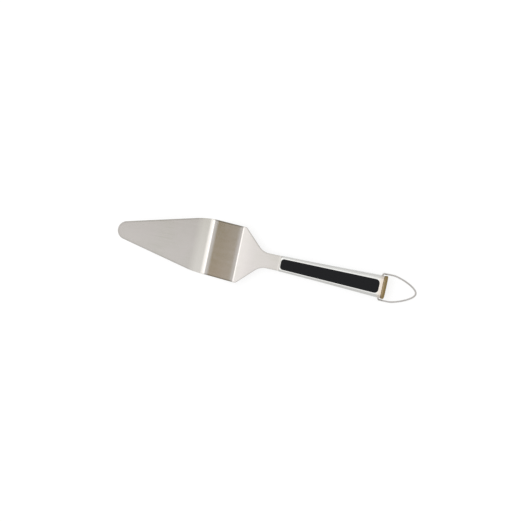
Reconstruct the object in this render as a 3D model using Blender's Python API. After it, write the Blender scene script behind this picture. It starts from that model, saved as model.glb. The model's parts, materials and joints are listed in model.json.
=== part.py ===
# Pizza server. One pressed steel sheet makes the blade, riser, shoulder, neck and tang. The tang is clamped
# in a two-part core inside a hollow steel handle of two pressed shells, which has a soft grip pad in a window
# on each face. A cap closes the handle's end and carries a wire loop that swings.
# Metres, +Z up, +X from the blade's tip to the handle's end. The server lies as it rests on a table: on its
# heel and on the end of its handle, with the tip of the blade raised and the loop lying on the table.

import math

import bmesh
import bpy
from mathutils import Matrix, Vector

# Sheet: lengths along the sheet's middle surface, in the order in which they come from the tip
SHEET_THICKNESS = 0.0018
SHEET_EDGE_ROUNDING = 0.0004
TIP_RADIUS = 0.0107
BLADE_LENGTH = 0.1073
HEEL_WIDTH = 0.0644
HEEL_CORNER_SETBACK = 0.0125
HEEL_CORNER_RADIUS = 0.07
FIRST_BEND_RADIUS = 0.014
RISER_LENGTH = 0.0422
SECOND_BEND_RADIUS = 0.005
SHOULDER_WIDTH = 0.0657
SHOULDER_LAND = 0.0036
SHOULDER_CORNER_RADIUS = 0.003
NECK_FILLET_RADIUS = 0.017
NECK_WIDTH = 0.0178
NECK_LENGTH = 0.0212
NECK_BEND_RADIUS = 0.02
NECK_BEND_SETBACK = 0.003
TANG_WIDTH = 0.0115
TANG_LENGTH = 0.075
TANG_CORNER_RADIUS = 0.003

# Slopes of the sheet's runs above the blade's plane, and the shoulder's taper in plan
RISER_SLOPE = math.radians(40)
SHOULDER_SLOPE = math.radians(12)
HANDLE_SLOPE = math.radians(20)
SHOULDER_TAPER = math.radians(44.6)

# Handle: lengths along the handle's own axis, from its front face
HANDLE_LENGTH = 0.1238
HANDLE_FRONT_WIDTH = 0.0186
HANDLE_END_WIDTH = 0.0263
HANDLE_FRONT_HEIGHT = 0.0095
HANDLE_END_HEIGHT = 0.0165
HANDLE_FRONT_ROUNDING = 0.0008
FLARE_EXPONENT = 1.2
SECTION_EXPONENT = 4.5
SHELL_WALL = 0.0008

# Grip pads, measured from the handle's front face and from the edges of its flat face
GRIP_FRONT_MARGIN = 0.0015
GRIP_REAR_MARGIN = 0.0039
GRIP_FRONT_SIDE_MARGIN = 0.0036
GRIP_REAR_SIDE_MARGIN = 0.0054
GRIP_FRONT_CORNER_RADIUS = 0.0032
GRIP_REAR_CORNER_RADIUS = 0.0042
GRIP_RISE = 0.0003
GRIP_DEPTH = 0.0018
GRIP_EDGE_ROUNDING = 0.0006
GRIP_CROWN_SHARES = (0.4, 0.8)
LEAST_CORNER_SHARE = 1 / 3

# Rivets through the core and the tang, placed as shares of the tang's length
RIVET_SHARES = (0.36, 0.84)
RIVET_SHANK_RADIUS = 0.0015
RIVET_HEAD_RADIUS = 0.0026
RIVET_HEAD_HEIGHT = 0.0008

# End cap: a plate flush with the shells, with a plug inside them that carries the loop
CAP_THICKNESS = 0.002
CAP_EDGE_ROUNDING = 0.0005
PLUG_LENGTH = 0.0105

# Wire loop: reach is from the pivot to the middle of the wire at the nose
WIRE_RADIUS = 0.00095
LOOP_REACH = 0.0427
LOOP_SIDE_GAP = 0.0014
LOOP_BEND_RADIUS = 0.0021
LOOP_ARM_DEPTH = 0.0055
LOOP_LEG_SHARE = 0.36
LOOP_SHOULDER_PULL_SHARE = 0.17
LOOP_NOSE_PULL_SHARE = 0.41
PIVOT_SETBACK = 0.0056

# Clearances
GAP = 0.0003
PIVOT_CLEARANCE = 0.0003
CUT_OVERRUN = 0.002

# Counts of facets
TIP_STEPS = 14
CORNER_STEPS = 8
FIRST_BEND_STEPS = 12
SECOND_BEND_STEPS = 8
NECK_BEND_STEPS = 3
SECTION_POINTS = 64
ROUNDING_STEPS = 3
ROUND_POINTS = 24
WIRE_STEPS = 10
WIRE_BEVEL_STEPS = 2

# A quarter circle's Bezier handle, as a share of its radius
QUARTER_CIRCLE_SHARE = 0.5523
SMOOTH_ANGLE = math.radians(30)
SHARP_EDGE_ANGLE = math.radians(50)

# Places along the sheet
FIRST_BEND_AT = BLADE_LENGTH
SECOND_BEND_AT = FIRST_BEND_AT + RISER_LENGTH
SHOULDER_CORNER_AT = SECOND_BEND_AT + SHOULDER_LAND
TAPER_LENGTH = (SHOULDER_WIDTH - NECK_WIDTH) / 2 / math.tan(SHOULDER_TAPER)
NECK_AT = SHOULDER_CORNER_AT + TAPER_LENGTH
NECK_END_AT = NECK_AT + NECK_LENGTH
HANDLE_FRONT_AT = NECK_END_AT + GAP
TANG_END_AT = HANDLE_FRONT_AT + TANG_LENGTH

# Each bend: its middle along the sheet, its radius, the angle it turns up and its facets
BENDS = (
    (FIRST_BEND_AT, FIRST_BEND_RADIUS, RISER_SLOPE, FIRST_BEND_STEPS),
    (SECOND_BEND_AT, SECOND_BEND_RADIUS, SHOULDER_SLOPE - RISER_SLOPE, SECOND_BEND_STEPS),
    (NECK_END_AT - NECK_BEND_SETBACK, NECK_BEND_RADIUS, HANDLE_SLOPE - SHOULDER_SLOPE, NECK_BEND_STEPS),
)

# Places along the handle
CAP_AT = HANDLE_LENGTH - CAP_THICKNESS
SHELL_END = CAP_AT - GAP
PLUG_AT = CAP_AT - PLUG_LENGTH
CORE_START = SHELL_WALL + GAP
CORE_END = PLUG_AT - GAP
CORE_INSET = SHELL_WALL + GAP
PIVOT_AT = HANDLE_LENGTH - PIVOT_SETBACK
GRIP_START = GRIP_FRONT_MARGIN
GRIP_END = SHELL_END - GRIP_REAR_MARGIN
PIVOT_BORE_RADIUS = WIRE_RADIUS + PIVOT_CLEARANCE


def clear_scene():
    for obj in list(bpy.data.objects):
        bpy.data.objects.remove(obj, do_unlink=True)


def make_material(name, colour, roughness, metallic):
    material = bpy.data.materials.new(name)
    material.use_nodes = True
    shader = material.node_tree.nodes["Principled BSDF"]
    shader.inputs["Base Color"].default_value = (*colour, 1)
    shader.inputs["Roughness"].default_value = roughness
    shader.inputs["Metallic"].default_value = metallic
    material.diffuse_color = (*colour, 1)
    return material


def add_object(name, data, parent, material=None):
    obj = bpy.data.objects.new(name, data)
    bpy.context.scene.collection.objects.link(obj)
    obj.parent = parent
    if material:
        data.materials.append(material)
    return obj


def add_frame(name, parent=None):
    frame = bpy.data.objects.new(name, None)
    bpy.context.scene.collection.objects.link(frame)
    frame.parent = parent
    return frame


def finish_mesh(name, bm):
    bmesh.ops.recalc_face_normals(bm, faces=bm.faces)
    mesh = bpy.data.meshes.new(name)
    bm.to_mesh(mesh)
    bm.free()
    mesh.shade_smooth()
    mesh.set_sharp_from_angle(angle=SMOOTH_ANGLE)
    return mesh


def loft_mesh(name, rings):
    # A closed solid through rings that all have the same number of points
    bm = bmesh.new()
    loops = [[bm.verts.new(point) for point in ring] for ring in rings]
    for near, far in zip(loops, loops[1:]):
        for k, corner in enumerate(near):
            j = (k + 1) % len(near)
            bm.faces.new((corner, near[j], far[j], far[k]))
    bm.faces.new(loops[0])
    bm.faces.new(loops[-1])
    return finish_mesh(name, bm)


def add_cutter(name, mesh, parent):
    cutter = add_object(name, mesh, parent)
    cutter.hide_render = True
    cutter.display_type = "WIRE"
    return cutter


def cut(obj, *cutters):
    for cutter in cutters:
        boolean = obj.modifiers.new(cutter.name, "BOOLEAN")
        boolean.operation = "DIFFERENCE"
        boolean.solver = "EXACT"
        boolean.object = cutter


def blend(start, end, share):
    return start + (end - start) * share


def fillet(before, corner, after, radius, steps=CORNER_STEPS):
    # Points of an arc that rounds a corner of an outline, no larger than its two sides allow
    corner = Vector(corner)
    back, forward = Vector(before) - corner, Vector(after) - corner
    half_angle = back.angle(forward) / 2
    reach = min(radius / math.tan(half_angle), back.length / 2, forward.length / 2)
    radius = reach * math.tan(half_angle)
    back.normalize()
    forward.normalize()
    centre = corner + (back + forward).normalized() * math.hypot(reach, radius)
    first, last = corner + back * reach - centre, corner + forward * reach - centre
    turn = first.angle_signed(last)
    return [centre + Matrix.Rotation(-turn * k / steps, 2) @ first for k in range(steps + 1)]


# The sheet


def sheet_point(at):
    # Where the sheet's middle surface is, and its slope, at this distance along it from the tip
    x = z = slope = reached = 0.0
    for middle, radius, turn, _ in BENDS:
        arc = radius * abs(turn)
        start = middle - arc / 2
        run = min(at, start) - reached
        x += run * math.cos(slope)
        z += run * math.sin(slope)
        if at <= start:
            return x, z, slope
        turned = turn * min((at - start) / arc, 1)
        chord = 2 * radius * math.sin(abs(turned) / 2)
        x += chord * math.cos(slope + turned / 2)
        z += chord * math.sin(slope + turned / 2)
        slope += turned
        reached = start + arc
        if at <= reached:
            return x, z, slope
    run = at - reached
    return x + run * math.cos(slope), z + run * math.sin(slope), slope


def sheet_outline():
    # Half of the flat blank, as distance along the sheet and half width, from the tip to the tang's end
    heel = (FIRST_BEND_AT - HEEL_CORNER_SETBACK, HEEL_WIDTH / 2)
    shoulder = (SHOULDER_CORNER_AT, SHOULDER_WIDTH / 2)
    neck = (NECK_AT, NECK_WIDTH / 2)
    neck_end = (NECK_END_AT, NECK_WIDTH / 2)
    tang_side = (NECK_END_AT, TANG_WIDTH / 2)
    tang_end = (TANG_END_AT, TANG_WIDTH / 2)
    to_heel = Vector(heel) - Vector((TIP_RADIUS, 0))
    side_angle = math.atan2(to_heel.y, to_heel.x) - math.asin(TIP_RADIUS / to_heel.length)
    tip_turn = math.pi / 2 - side_angle
    points = []
    for k in range(1, TIP_STEPS + 1):
        angle = tip_turn * k / TIP_STEPS
        points.append(Vector((TIP_RADIUS * (1 - math.cos(angle)), TIP_RADIUS * math.sin(angle))))
    points += fillet(points[-1], heel, shoulder, HEEL_CORNER_RADIUS)
    points += fillet(heel, shoulder, neck, SHOULDER_CORNER_RADIUS)
    points += fillet(shoulder, neck, neck_end, NECK_FILLET_RADIUS)
    points += [Vector(neck_end), Vector(tang_side)]
    points += fillet(tang_side, tang_end, (TANG_END_AT, 0), TANG_CORNER_RADIUS)
    return points


def make_sheet(parent, cutters, material):
    side = sheet_outline()
    outline = [Vector((0, 0))] + side + [Vector((point.x, -point.y)) for point in reversed(side)]
    bm = bmesh.new()
    bm.faces.new([bm.verts.new((point.x, point.y, 0)) for point in outline])
    for middle, radius, turn, steps in BENDS:
        arc = radius * abs(turn)
        for k in range(steps + 1):
            bmesh.ops.bisect_plane(
                bm,
                geom=bm.verts[:] + bm.edges[:] + bm.faces[:],
                plane_co=(middle - arc / 2 + arc * k / steps, 0, 0),
                plane_no=(1, 0, 0),
            )
    for vert in bm.verts:
        x, z, _ = sheet_point(vert.co.x)
        vert.co = (x, vert.co.y, z)
    blade = add_object("blade", finish_mesh("blade", bm), parent, material)
    solidify = blade.modifiers.new("sheet thickness", "SOLIDIFY")
    solidify.thickness = SHEET_THICKNESS
    solidify.offset = 0
    solidify.use_even_offset = True
    bevel = blade.modifiers.new("rounded edges", "BEVEL")
    bevel.width = SHEET_EDGE_ROUNDING
    bevel.segments = 2
    bevel.limit_method = "ANGLE"
    bevel.angle_limit = SHARP_EDGE_ANGLE
    cut(blade, *rivet_holes(cutters))
    return blade


# The handle


def half_width(x):
    # The sides run almost parallel behind the neck and flare towards the cap
    share = max(x / HANDLE_LENGTH, 0) ** FLARE_EXPONENT
    return blend(HANDLE_FRONT_WIDTH, HANDLE_END_WIDTH, share) / 2


def half_height(x):
    return blend(HANDLE_FRONT_HEIGHT, HANDLE_END_HEIGHT, x / HANDLE_LENGTH) / 2


def surface_height(x, y):
    # Height of the handle's rounded-square section above its middle plane
    return half_height(x) * (1 - abs(y / half_width(x)) ** SECTION_EXPONENT) ** (1 / SECTION_EXPONENT)


def section_ring(x, inset=0.0):
    width, height = half_width(x) - inset, half_height(x) - inset
    ring = []
    for k in range(SECTION_POINTS):
        angle = math.tau * k / SECTION_POINTS
        across, up = math.cos(angle), math.sin(angle)
        ring.append((
            x,
            math.copysign(width * abs(across) ** (2 / SECTION_EXPONENT), across),
            math.copysign(height * abs(up) ** (2 / SECTION_EXPONENT), up),
        ))
    return ring


def quarter_round(radius):
    # Pairs of distance from a face and inset from a side, along the arc that rounds the edge between them
    for k in range(ROUNDING_STEPS + 1):
        angle = math.pi / 2 * k / ROUNDING_STEPS
        yield radius * (1 - math.cos(angle)), radius * (1 - math.sin(angle))


def box_mesh(name, low, high):
    bm = bmesh.new()
    bmesh.ops.create_cube(bm, size=1)
    for vert in bm.verts:
        vert.co = [blend(a, b, share + 0.5) for a, b, share in zip(low, high, vert.co)]
    return finish_mesh(name, bm)


def grip_outline(inset):
    # Outline of a grip pad in plan: a trapezoid with round corners, smaller by the inset all round
    start, end = GRIP_START + inset, GRIP_END - inset
    front = half_width(start) - GRIP_FRONT_SIDE_MARGIN - inset
    rear = half_width(end) - GRIP_REAR_SIDE_MARGIN - inset
    corners = [
        ((start, -front), GRIP_FRONT_CORNER_RADIUS),
        ((end, -rear), GRIP_REAR_CORNER_RADIUS),
        ((end, rear), GRIP_REAR_CORNER_RADIUS),
        ((start, front), GRIP_FRONT_CORNER_RADIUS),
    ]
    outline = []
    for k, (corner, radius) in enumerate(corners):
        radius = max(radius - inset, radius * LEAST_CORNER_SHARE)
        outline += fillet(corners[k - 1][0], corner, corners[(k + 1) % len(corners)][0], radius)
    return outline


def grip_ring(inset, height):
    return [(point.x, point.y, height(point.x, point.y)) for point in grip_outline(inset)]


def grip_floor(x):
    return half_height(x) - GRIP_DEPTH


def grip_mesh():
    rings = [grip_ring(0, lambda x, y: grip_floor(x))]
    for inset, drop in quarter_round(GRIP_EDGE_ROUNDING):
        rings.append(grip_ring(inset, lambda x, y, drop=drop: surface_height(x, y) + GRIP_RISE - drop))
    for share in GRIP_CROWN_SHARES:
        inset = blend(GRIP_EDGE_ROUNDING, half_width(GRIP_START) - GRIP_FRONT_SIDE_MARGIN, share)
        rings.append(grip_ring(inset, lambda x, y: surface_height(x, y) + GRIP_RISE))
    return loft_mesh("grip_pad", rings)


def grip_pocket_mesh():
    return loft_mesh("grip_pocket", [
        grip_ring(-GAP, lambda x, y: grip_floor(x) - GAP),
        grip_ring(-GAP, lambda x, y: half_height(x) + CUT_OVERRUN),
    ])


def circle_ring(radius, z):
    angles = [math.tau * k / ROUND_POINTS for k in range(ROUND_POINTS)]
    return [(radius * math.cos(angle), radius * math.sin(angle), z) for angle in angles]


def rivet_mesh(name, x, play, top_overrun):
    # A rivet that stands upright with a head at each end, or with play, the hole that it needs
    top = grip_floor(x) - 2 * GAP
    neck = top - RIVET_HEAD_HEIGHT - play
    head, shank = RIVET_HEAD_RADIUS + play, RIVET_SHANK_RADIUS + play
    return loft_mesh(name, [
        circle_ring(head, -top - top_overrun),
        circle_ring(head, -neck),
        circle_ring(shank, -neck),
        circle_ring(shank, neck),
        circle_ring(head, neck),
        circle_ring(head, top + top_overrun),
    ])


def make_cutters(handle):
    reach = 2 * HANDLE_END_WIDTH
    box = {
        "above": ((-CUT_OVERRUN, -reach, -GAP / 2), (HANDLE_LENGTH + CUT_OVERRUN, reach, reach)),
        "below": ((-CUT_OVERRUN, -reach, -reach), (HANDLE_LENGTH + CUT_OVERRUN, reach, GAP / 2)),
        "tang_slot": (
            (-CUT_OVERRUN, -TANG_WIDTH / 2 - GAP, -SHEET_THICKNESS / 2 - GAP),
            (TANG_LENGTH + GAP, TANG_WIDTH / 2 + GAP, SHEET_THICKNESS / 2 + GAP),
        ),
    }
    cutters = {
        name: add_cutter(f"{name}_cutter", box_mesh(f"{name}_cutter", *corners), handle)
        for name, corners in box.items()
    }
    cavity = [section_ring(SHELL_WALL, SHELL_WALL), section_ring(SHELL_END + CUT_OVERRUN, SHELL_WALL)]
    cutters["cavity"] = add_cutter("cavity_cutter", loft_mesh("cavity_cutter", cavity), handle)
    bore = [circle_ring(PIVOT_BORE_RADIUS, -reach), circle_ring(PIVOT_BORE_RADIUS, reach)]
    cutters["pivot_bore"] = add_cutter("pivot_bore_cutter", loft_mesh("pivot_bore_cutter", bore), handle)
    cutters["pivot_bore"].location.x = PIVOT_AT
    cutters["pivot_bore"].rotation_euler.x = math.pi / 2
    pocket = grip_pocket_mesh()
    for name, turn in (("upper_pocket", 0), ("lower_pocket", math.pi)):
        cutters[name] = add_cutter(f"{name}_cutter", pocket, handle)
        cutters[name].rotation_euler.x = turn
    for k, share in enumerate(RIVET_SHARES):
        x = share * TANG_LENGTH
        hole = rivet_mesh(f"rivet_hole_{k}", x, GAP, CUT_OVERRUN)
        cutters[f"rivet_hole_{k}"] = add_cutter(f"rivet_hole_{k}_cutter", hole, handle)
        cutters[f"rivet_hole_{k}"].location.x = x
    return cutters


def rivet_holes(cutters):
    return [cutters[f"rivet_hole_{k}"] for k in range(len(RIVET_SHARES))]


def make_shells(handle, cutters, material):
    rings = [section_ring(x, inset) for x, inset in quarter_round(HANDLE_FRONT_ROUNDING)]
    rings.append(section_ring(SHELL_END))
    shells = []
    for name, removed, pocket in (
        ("upper_shell", "below", "upper_pocket"),
        ("lower_shell", "above", "lower_pocket"),
    ):
        shell = add_object(name, loft_mesh(name, rings), handle, material)
        openings = [cutters[opening] for opening in (removed, pocket, "tang_slot", "pivot_bore")]
        cut(shell, cutters["cavity"], *openings)
        shells.append(shell)
    return shells


def make_cores(handle, cutters, material):
    rings = [section_ring(CORE_START, CORE_INSET), section_ring(CORE_END, CORE_INSET)]
    cores = []
    for name, removed, pocket in (
        ("upper_core", "below", "upper_pocket"),
        ("lower_core", "above", "lower_pocket"),
    ):
        core = add_object(name, loft_mesh(name, rings), handle, material)
        cut(core, cutters[removed], cutters[pocket], cutters["tang_slot"], *rivet_holes(cutters))
        cores.append(core)
    return cores


def make_grips(handle, material):
    grips = []
    for name, turn in (("upper_grip", 0), ("lower_grip", math.pi)):
        grip = add_object(name, grip_mesh(), handle, material)
        grip.rotation_euler.x = turn
        grips.append(grip)
    return grips


def make_rivets(handle, material):
    rivets = []
    for name, share in zip(("front_tang_rivet", "rear_tang_rivet"), RIVET_SHARES):
        x = share * TANG_LENGTH
        rivet = add_object(name, rivet_mesh(name, x, 0, 0), handle, material)
        rivet.location.x = x
        rivets.append(rivet)
    return rivets


def make_end_cap(handle, cutters, material):
    rings = [section_ring(PLUG_AT, CORE_INSET), section_ring(CAP_AT, CORE_INSET)]
    rings.append(section_ring(CAP_AT))
    rings += [
        section_ring(HANDLE_LENGTH - depth, inset)
        for depth, inset in reversed(list(quarter_round(CAP_EDGE_ROUNDING)))
    ]
    cap = add_object("end_cap", loft_mesh("end_cap", rings), handle, material)
    cut(cap, cutters["pivot_bore"], cutters["upper_pocket"], cutters["lower_pocket"])
    return cap


def make_loop(handle, material):
    # The wire's path from the tip of one arm, in a side hole, round the nose to the other arm
    side = half_width(PIVOT_AT) + LOOP_SIDE_GAP + WIRE_RADIUS
    arm_end = half_width(PIVOT_AT) - LOOP_ARM_DEPTH
    leg = LOOP_REACH * LOOP_LEG_SHARE
    shoulder_pull = LOOP_REACH * LOOP_SHOULDER_PULL_SHARE
    nose_pull = side * LOOP_NOSE_PULL_SHARE
    bend_pull = LOOP_BEND_RADIUS * QUARTER_CIRCLE_SHARE
    bend_start = side - LOOP_BEND_RADIUS
    arm_third, leg_third = (bend_start - arm_end) / 3, (leg - LOOP_BEND_RADIUS) / 3
    # Each point: its place, and how far its handles reach back and forward along its direction
    half = [
        ((0, arm_end), (0, 1), arm_third, arm_third),
        ((0, bend_start), (0, 1), arm_third, bend_pull),
        ((LOOP_BEND_RADIUS, side), (1, 0), bend_pull, leg_third),
        ((leg, side), (1, 0), leg_third, shoulder_pull),
    ]
    nose = [((LOOP_REACH, 0), (0, -1), nose_pull, nose_pull)]
    other = [((x, -y), (-dx, dy), ahead, behind) for (x, y), (dx, dy), behind, ahead in reversed(half)]
    curve = bpy.data.curves.new("hanging_loop", "CURVE")
    curve.dimensions = "3D"
    curve.bevel_depth = WIRE_RADIUS
    curve.bevel_resolution = WIRE_BEVEL_STEPS
    curve.resolution_u = WIRE_STEPS
    curve.use_fill_caps = True
    spline = curve.splines.new("BEZIER")
    points = half + nose + other
    spline.bezier_points.add(len(points) - 1)
    for point, ((x, y), (dx, dy), behind, ahead) in zip(spline.bezier_points, points):
        place, direction = Vector((x, y, 0)), Vector((dx, dy, 0))
        point.handle_left_type = point.handle_right_type = "FREE"
        point.co = place
        point.handle_left = place - direction * behind
        point.handle_right = place + direction * ahead
    loop = add_object("hanging_loop", curve, handle, material)
    loop.location.x = PIVOT_AT
    return loop


# The rest pose on a table


def shown_points(objects):
    # The points of these objects as they are shown, in world space
    bpy.context.view_layer.update()
    graph = bpy.context.evaluated_depsgraph_get()
    points = []
    for obj in objects:
        shown = obj.evaluated_get(graph)
        points += [shown.matrix_world @ vert.co for vert in shown.to_mesh().vertices]
        shown.to_mesh_clear()
    return points


def lay_on_table(server, handle_pieces):
    # Turns the server about its heel's round underside until the first point of its handle touches the table
    radius = FIRST_BEND_RADIUS + SHEET_THICKNESS / 2
    heel = Vector((FIRST_BEND_AT - FIRST_BEND_RADIUS * RISER_SLOPE / 2, FIRST_BEND_RADIUS))
    spans = [Vector((point.x, point.z)) - heel for point in shown_points(handle_pieces)]
    tilt = min(math.atan2(span.y, span.x) + math.asin(radius / span.length) for span in spans)
    server.rotation_euler.y = tilt
    server.location.z = radius - heel.y * math.cos(tilt) + heel.x * math.sin(tilt)
    bpy.context.view_layer.update()
    return tilt


def lay_loop_on_table(loop, tilt):
    # Turns the loop down from the handle's line until its nose lies on the table
    drop = loop.matrix_world.translation.z - WIRE_RADIUS
    loop.rotation_euler.y = HANDLE_SLOPE - tilt + math.asin(drop / LOOP_REACH)


def centre_on_origin(server, pieces):
    # Slides the server along X until the middle of its box is over the origin
    spread = [point.x for point in shown_points(pieces)]
    server.location.x -= (min(spread) + max(spread)) / 2
    bpy.context.view_layer.update()


def main():
    clear_scene()
    steel = make_material("brushed steel sheet", (0.55, 0.54, 0.52), 0.3, 1)
    shell_steel = make_material("satin steel shell", (0.66, 0.65, 0.63), 0.28, 1)
    grip_rubber = make_material("black soft grip", (0.02, 0.021, 0.024), 0.75, 0)
    core_plastic = make_material("grey moulded core", (0.08, 0.08, 0.085), 0.5, 0)
    rivet_steel = make_material("rivet steel", (0.6, 0.6, 0.6), 0.35, 1)
    cap_metal = make_material("tan satin cap", (0.31, 0.23, 0.14), 0.4, 1)
    wire_steel = make_material("bright steel wire", (0.6, 0.6, 0.6), 0.2, 1)

    server = add_frame("server_at_rest")
    handle = add_frame("handle_frame", server)
    front_x, front_z, _ = sheet_point(HANDLE_FRONT_AT)
    handle.location = (front_x, 0, front_z)
    handle.rotation_euler.y = -HANDLE_SLOPE

    cutters = make_cutters(handle)
    blade = make_sheet(server, cutters, steel)
    shells = make_shells(handle, cutters, shell_steel)
    cores = make_cores(handle, cutters, core_plastic)
    grips = make_grips(handle, grip_rubber)
    rivets = make_rivets(handle, rivet_steel)
    cap = make_end_cap(handle, cutters, cap_metal)
    loop = make_loop(handle, wire_steel)

    tilt = lay_on_table(server, [*shells, *grips, cap])
    lay_loop_on_table(loop, tilt)
    centre_on_origin(server, [blade, *shells, *cores, *grips, *rivets, cap, loop])

    pivot = loop.matrix_world.translation
    under = server.matrix_world @ Vector((FIRST_BEND_AT / 2, 0, -SHEET_THICKNESS / 2))
    print("loop pivot", [round(value, 6) for value in pivot])
    print("blade's underside, middle", [round(value, 6) for value in under])
    print("tilt at rest", round(math.degrees(tilt), 3), "degrees")


main()
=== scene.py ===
import json
import math

import bmesh
import bpy
from mathutils import Matrix, Vector
from mathutils.geometry import interpolate_bezier


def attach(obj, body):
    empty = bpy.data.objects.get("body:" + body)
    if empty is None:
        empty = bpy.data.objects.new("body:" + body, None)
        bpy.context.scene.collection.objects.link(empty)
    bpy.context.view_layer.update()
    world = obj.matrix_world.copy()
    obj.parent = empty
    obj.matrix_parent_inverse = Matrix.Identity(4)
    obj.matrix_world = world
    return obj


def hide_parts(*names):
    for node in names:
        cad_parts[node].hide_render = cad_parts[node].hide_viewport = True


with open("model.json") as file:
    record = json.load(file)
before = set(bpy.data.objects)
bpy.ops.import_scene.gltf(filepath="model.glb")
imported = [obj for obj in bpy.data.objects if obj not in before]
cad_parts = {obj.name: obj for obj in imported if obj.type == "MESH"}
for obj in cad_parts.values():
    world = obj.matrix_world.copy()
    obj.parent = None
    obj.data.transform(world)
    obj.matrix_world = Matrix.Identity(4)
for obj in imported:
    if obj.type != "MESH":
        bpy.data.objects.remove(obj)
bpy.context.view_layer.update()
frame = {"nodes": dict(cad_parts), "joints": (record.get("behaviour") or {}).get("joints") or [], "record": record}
print("frame loaded with", len(frame["nodes"]), "nodes")


def addObject(name, data):
    added = bpy.data.objects.new(name, data)
    bpy.context.scene.collection.objects.link(added)
    return added


def newPiece(name, bm):
    mesh = bpy.data.meshes.new(name)
    bm.to_mesh(mesh)
    bm.free()
    return addObject(name, mesh)


# camera

cameraSettings = {
    "target": (-0.0082, -0.00193, 0.01),
    "azimuth": 114.244,  # degrees, 0 looks along +Y
    "elevation": 77.908,
    "roll": -101.806,
    "distance": 2.0,
    "lens": 119.84,  # mm, on a sensor 36 mm wide
}


def makeCamera(settings):
    names = ("azimuth", "elevation", "roll")
    azimuth, elevation, roll = (math.radians(settings[name]) for name in names)
    back = Vector((
        math.sin(azimuth) * math.cos(elevation),
        -math.cos(azimuth) * math.cos(elevation),
        math.sin(elevation),
    ))
    right = Vector((math.cos(azimuth), math.sin(azimuth), 0))
    right.rotate(Matrix.Rotation(roll, 3, back))
    up = back.cross(right)
    data = bpy.data.cameras.new("photoCamera")
    data.lens = settings["lens"]
    camera = addObject("photoCamera", data)
    place = Vector(settings["target"]) + back * settings["distance"]
    camera.matrix_world = Matrix.Translation(place) @ Matrix((right, up, back)).transposed().to_4x4()
    bpy.context.scene.camera = camera


makeCamera(cameraSettings)
print("camera placed")


# node helpers, for materials and for Geometry Nodes

def joinSocket(tree, value, socket):
    # a value is a number, a tuple or the socket of another node
    if isinstance(value, bpy.types.NodeSocket):
        tree.links.new(value, socket)
    else:
        socket.default_value = value


def setInputs(tree, node, values):
    for name, value in values.items():
        joinSocket(tree, value, node.inputs[name])


def addNode(tree, kind, values=None, **settings):
    node = tree.nodes.new(kind)
    for name, value in settings.items():
        setattr(node, name, value)
    setInputs(tree, node, values or {})
    return node


def calculate(tree, operation, *values, clamp=False):
    node = addNode(tree, "ShaderNodeMath", dict(enumerate(values)), operation=operation, use_clamp=clamp)
    return node.outputs[0]


def sumsIn(tree):
    # calculate, for one tree
    return lambda operation, *values: calculate(tree, operation, *values)


def remap(tree, value, low, high, newLow=0.0, newHigh=1.0):
    values = {"Value": value, "From Min": low, "From Max": high, "To Min": newLow, "To Max": newHigh}
    return addNode(tree, "ShaderNodeMapRange", values, interpolation_type="SMOOTHSTEP").outputs["Result"]


def vectorStep(tree, operation, first, second, output=0):
    values = {0: first, 1: second}
    return addNode(tree, "ShaderNodeVectorMath", values, operation=operation).outputs[output]


def partsOf(tree, vector):
    return addNode(tree, "ShaderNodeSeparateXYZ", {0: vector}).outputs


def joinParts(tree, x, y, z):
    return addNode(tree, "ShaderNodeCombineXYZ", {"X": x, "Y": y, "Z": z}).outputs[0]


def noise(tree, vector, scale, detail, **more):
    values = {"Vector": vector, "Scale": scale, "Detail": detail, **more}
    return addNode(tree, "ShaderNodeTexNoise", values).outputs["Fac"]


def mixColours(tree, share, first, second):
    values = {"Factor": share, 6: first, 7: second}  # 6 and 7 are the colours A and B
    return addNode(tree, "ShaderNodeMix", values, data_type="RGBA").outputs[2]


def newTree(name, kind, inputs, outputs):
    # a node group with named sockets: inputs maps a name to its type and start value, outputs to its type
    tree = bpy.data.node_groups.new(name, kind)
    for socketName, (socketKind, value) in inputs.items():
        socket = tree.interface.new_socket(socketName, in_out="INPUT", socket_type=f"NodeSocket{socketKind}")
        if value is not None:
            socket.default_value = value
    for socketName, socketKind in outputs.items():
        tree.interface.new_socket(socketName, in_out="OUTPUT", socket_type=f"NodeSocket{socketKind}")
    return tree, tree.nodes.new("NodeGroupInput").outputs, tree.nodes.new("NodeGroupOutput")


def newMaterial(name):
    material = bpy.data.materials.new(name)
    material.use_nodes = True
    return material, material.node_tree, material.node_tree.nodes["Principled BSDF"]


def colour(values):
    return (*values, 1)


white, black = colour((1, 1, 1)), colour((0, 0, 0))


# stage: a white world, a pale floor, softboxes overhead, and cards that only reflections see

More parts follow.
